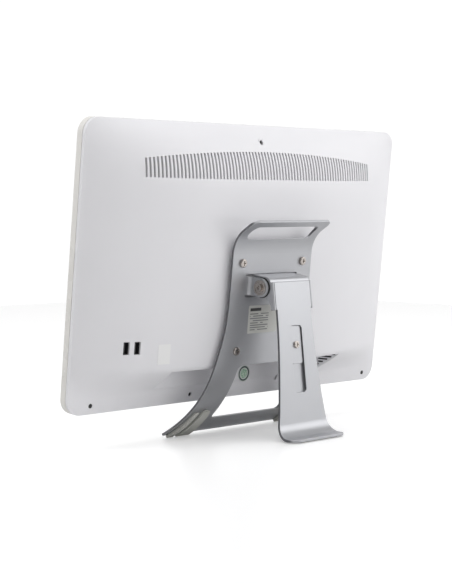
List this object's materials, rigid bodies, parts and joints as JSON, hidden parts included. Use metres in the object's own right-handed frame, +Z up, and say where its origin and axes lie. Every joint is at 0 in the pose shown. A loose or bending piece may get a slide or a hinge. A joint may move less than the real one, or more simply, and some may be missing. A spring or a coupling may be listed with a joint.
{
  "type": "all-in-one desktop computer",
  "caption": "Slim white all-in-one desktop computer with a crowned, vented back, on a bent metal stand plate with a grip slot and a hinged rear leg that slides.",
  "frame": {"origin": "centre of the footprint box on the desk, halfway between the side faces and halfway from front to back", "axes": "+Z up, -Y out of the screen towards the user, +X to the right of a user facing the screen"},
  "size_m": [0.5116, 0.1476, 0.3541],
  "materials": {
    "cover_white": "satin white moulded plastic",
    "bezel_white": "glossy white moulded plastic",
    "screen": "dark glossy screen, switched off",
    "plate_silver": "satin silver powder coat",
    "steel_zinc": "zinc-plated steel",
    "screw_silver": "plated screw heads",
    "screw_black": "blackened steel screws",
    "rubber_grey": "light grey rubber",
    "washer_black": "black friction washers",
    "board_green": "green circuit board",
    "chip_black": "black moulded parts",
    "alu": "bare aluminium",
    "copper": "copper heat pipe",
    "label_white": "blank paper label",
    "label_ring": "plain round film sticker",
    "port_steel": "plated connector shells",
    "ribbon": "flat cable",
    "backlight": "white tray"
  },
  "bodies": {
    "computer": {"front_bezel": "bezel_white", "lcd_screen": "screen", "backlight_unit": "backlight", "panel_driver_board": "board_green", "speaker_left": "chip_black", "speaker_right": "chip_black", "camera_module": "board_green", "camera_lens": "screen", "wifi_antennas": "ribbon", "power_switch_board": "board_green", "power_led": "label_white", "back_cover": "cover_white", "louvre_gauze": "chip_black", "cover_screws": "screw_black", "chassis": "steel_zinc", "panel_brackets": "steel_zinc", "vesa_posts": "steel_zinc", "motherboard": "board_green", "board_standoffs": "screw_silver", "board_screws": "screw_silver", "processor": "alu", "heatsink_block": "alu", "heat_pipe": "copper", "fin_stack": "alu", "blower_housing": "chip_black", "hard_drive": "alu", "drive_bracket": "steel_zinc", "memory_socket": "chip_black", "memory_modules": "board_green", "wifi_card": "board_green", "coin_cell": "screw_silver", "display_ribbon": "ribbon", "dc_inlet": "chip_black", "lan_socket": "port_steel", "usb_sockets": "port_steel", "hdmi_socket": "port_steel", "vga_socket": "chip_black", "audio_jacks": "chip_black", "io_shield": "port_steel", "rear_usb_sockets": "chip_black", "rear_usb_board": "board_green", "blank_sticker": "label_white", "round_sticker": "label_ring", "rating_label": "label_white", "stand_plate": "plate_silver", "stand_screws": "screw_silver", "front_foot_pads": "rubber_grey", "hinge_washers": "washer_black", "hinge_discs": "screw_silver", "hinge_screws": "screw_silver", "hinge_nuts": "screw_silver"},
    "leg_bracket": {"hinge_bracket": "plate_silver", "leg_slide_block": "plate_silver", "leg_clamp_screw": "screw_silver"},
    "rear_leg": {"leg_plate": "plate_silver", "leg_foot_pad": "rubber_grey"},
    "power_button": {"power_button": "bezel_white"},
    "fan_rotor": {"fan_rotor": "chip_black"}
  },
  "joints": [
    {"name": "leg_hinge", "type": "hinge", "parent": "computer", "child": "leg_bracket", "pos_m": [0, 0.01387, 0.16921], "axis": [1, 0, 0], "range_deg": [-25, 14]},
    {"name": "leg_slide", "type": "slide", "parent": "leg_bracket", "child": "rear_leg", "axis": [0, -0.112, 0.9937], "range_m": [0, 0.032]},
    {"name": "power_press", "type": "slide", "parent": "computer", "child": "power_button", "axis": [-1, 0, 0], "range_m": [0, 0.0008], "stiffness_N_per_m": 600, "springref_m": -0.0006},
    {"name": "fan_spin", "type": "hinge", "parent": "computer", "child": "fan_rotor", "pos_m": [0.14, -0.02853, 0.20897], "axis": [0, 0.9943, -0.1068], "continuous": true}
  ]
}
